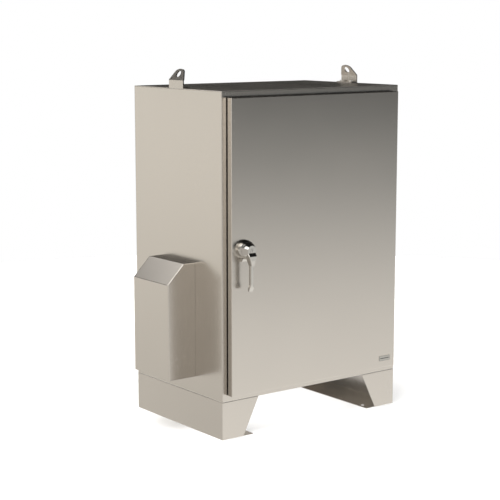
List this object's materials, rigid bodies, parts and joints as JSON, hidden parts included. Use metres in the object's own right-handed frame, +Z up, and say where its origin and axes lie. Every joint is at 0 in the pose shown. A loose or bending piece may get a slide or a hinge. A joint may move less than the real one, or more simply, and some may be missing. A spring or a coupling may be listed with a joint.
{
  "type": "industrial switchboard cabinet",
  "caption": "Free-standing stainless steel switchboard cabinet with hinged door, latch handle, side vent hood, lifting eyes, floor stands and fitted switchgear.",
  "frame": {"origin": "floor level, at the middle of the four anchor holes in the stands' feet", "axes": "+Z up, the door faces -Y, +X towards the hinged side; the vent hood is on -X"},
  "size_m": [1.0449, 0.6986, 1.4477],
  "materials": {
    "stainless_sheet": "fine satin stainless steel, softly reflective",
    "stainless_plate": "satin stainless plate",
    "chrome_handle": "polished chrome",
    "zinc_steel": "zinc-plated steel",
    "hinge_steel": "satin stainless",
    "foam_gasket": "black closed-cell foam",
    "white_panel": "semi-gloss white powder coat",
    "pocket_plastic": "light grey moulded plastic",
    "duct_plastic": "grey PVC",
    "black_plastic": "fine moulded texture",
    "device_grey": "light grey moulded plastic",
    "toggle_plastic": "satin black",
    "terminal_plastic": "grey polyamide",
    "filter_fibre": "white fibre mat",
    "nylon": "natural nylon",
    "brass": "turned brass",
    "copper_bar": "plain copper bar",
    "label_foil": "satin foil, blank"
  },
  "bodies": {
    "cabinet": {"left_side_wall": "stainless_sheet", "right_side_wall": "stainless_sheet", "roof_panel": "stainless_sheet", "floor_pan": "stainless_sheet", "rear_wall": "stainless_sheet", "front_frame": "stainless_sheet", "floor_stand_left": "stainless_sheet", "floor_stand_right": "stainless_sheet", "stand_bolts": "zinc_steel", "lifting_eye_left": "stainless_plate", "lifting_eye_right": "stainless_plate", "lifting_eye_bolts": "zinc_steel", "vent_hood": "stainless_sheet", "filter_mat": "filter_fibre", "fan_housing": "black_plastic", "fan_guard": "zinc_steel", "hinge_leaf_body": "hinge_steel", "hinge_pin": "hinge_steel", "mounting_panel": "white_panel", "panel_studs": "zinc_steel", "panel_nuts": "zinc_steel", "ground_stud": "brass", "din_rails": "zinc_steel", "wiring_ducts": "duct_plastic", "main_breaker": "black_plastic", "branch_breakers": "device_grey", "contactors": "black_plastic", "power_supply": "device_grey", "terminal_blocks": "terminal_plastic", "ground_bar": "copper_bar"},
    "door": {"door_panel": "stainless_sheet", "door_gasket": "foam_gasket", "door_stiffeners": "stainless_plate", "data_pocket": "pocket_plastic", "label_plate": "label_foil", "hinge_leaf_door": "hinge_steel", "handle_base": "chrome_handle", "handle_nut": "zinc_steel", "rod_guides": "zinc_steel"},
    "handle": {"handle_lever": "chrome_handle", "handle_shaft": "zinc_steel", "latch_cam": "zinc_steel", "cam_screw": "zinc_steel"},
    "lock": {"lock_plug": "chrome_handle"},
    "upper_rod": {"latch_rod_upper": "zinc_steel"},
    "lower_rod": {"latch_rod_lower": "zinc_steel"},
    "upper_roller": {"latch_roller_upper": "nylon"},
    "lower_roller": {"latch_roller_lower": "nylon"},
    "fan": {"fan_impeller": "black_plastic"},
    "main_toggle": {"main_breaker_toggle": "toggle_plastic"},
    "toggle_1": {"branch_toggle_1": "toggle_plastic"},
    "toggle_2": {"branch_toggle_2": "toggle_plastic"},
    "toggle_3": {"branch_toggle_3": "toggle_plastic"},
    "toggle_4": {"branch_toggle_4": "toggle_plastic"},
    "toggle_5": {"branch_toggle_5": "toggle_plastic"},
    "toggle_6": {"branch_toggle_6": "toggle_plastic"}
  },
  "joints": [
    {"name": "door_hinge", "type": "hinge", "parent": "cabinet", "child": "door", "pos_m": [0.4358, -0.316, 0.762], "axis": [0, 0, 1], "range_deg": [0, 120]},
    {"name": "handle_turn", "type": "hinge", "parent": "door", "child": "handle", "pos_m": [-0.3712, -0.3348, 0.7595], "axis": [0, -1, 0], "range_deg": [0, 90]},
    {"name": "lock_turn", "type": "hinge", "parent": "handle", "child": "lock", "pos_m": [-0.3712, -0.3348, 0.7595], "axis": [0, -1, 0], "range_deg": [0, 90]},
    {"name": "upper_rod_slide", "type": "slide", "parent": "door", "child": "upper_rod", "axis": [0, 0, -1], "range_m": [0, 0.0201]},
    {"name": "lower_rod_slide", "type": "slide", "parent": "door", "child": "lower_rod", "axis": [0, 0, 1], "range_m": [0, 0.0201]},
    {"name": "upper_roller_spin", "type": "hinge", "parent": "upper_rod", "child": "upper_roller", "pos_m": [-0.3557, -0.2933, 1.3146], "axis": [1, 0, 0], "continuous": true},
    {"name": "lower_roller_spin", "type": "hinge", "parent": "lower_rod", "child": "lower_roller", "pos_m": [-0.3557, -0.2933, 0.2094], "axis": [1, 0, 0], "continuous": true},
    {"name": "fan_spin", "type": "hinge", "parent": "cabinet", "child": "fan", "pos_m": [-0.4292, 0, 0.43], "axis": [1, 0, 0], "continuous": true},
    {"name": "main_breaker_switch", "type": "hinge", "parent": "cabinet", "child": "main_toggle", "pos_m": [-0.215, 0.178, 1.13], "axis": [-1, 0, 0], "range_deg": [0, 50]},
    {"name": "branch_switch_1", "type": "hinge", "parent": "cabinet", "child": "toggle_1", "pos_m": [0.04, 0.1935, 0.985], "axis": [-1, 0, 0], "range_deg": [0, 50]},
    {"name": "branch_switch_2", "type": "hinge", "parent": "cabinet", "child": "toggle_2", "pos_m": [0.0584, 0.1935, 0.985], "axis": [-1, 0, 0], "range_deg": [0, 50]},
    {"name": "branch_switch_3", "type": "hinge", "parent": "cabinet", "child": "toggle_3", "pos_m": [0.0768, 0.1935, 0.985], "axis": [-1, 0, 0], "range_deg": [0, 50]},
    {"name": "branch_switch_4", "type": "hinge", "parent": "cabinet", "child": "toggle_4", "pos_m": [0.0952, 0.1935, 0.985], "axis": [-1, 0, 0], "range_deg": [0, 50]},
    {"name": "branch_switch_5", "type": "hinge", "parent": "cabinet", "child": "toggle_5", "pos_m": [0.1136, 0.1935, 0.985], "axis": [-1, 0, 0], "range_deg": [0, 50]},
    {"name": "branch_switch_6", "type": "hinge", "parent": "cabinet", "child": "toggle_6", "pos_m": [0.132, 0.1935, 0.985], "axis": [-1, 0, 0], "range_deg": [0, 50]}
  ],
  "couplings": [
    {"joint": "upper_rod_slide", "follows": "handle_turn", "m_per_rad": 0.012732},
    {"joint": "lower_rod_slide", "follows": "handle_turn", "m_per_rad": 0.012732}
  ]
}
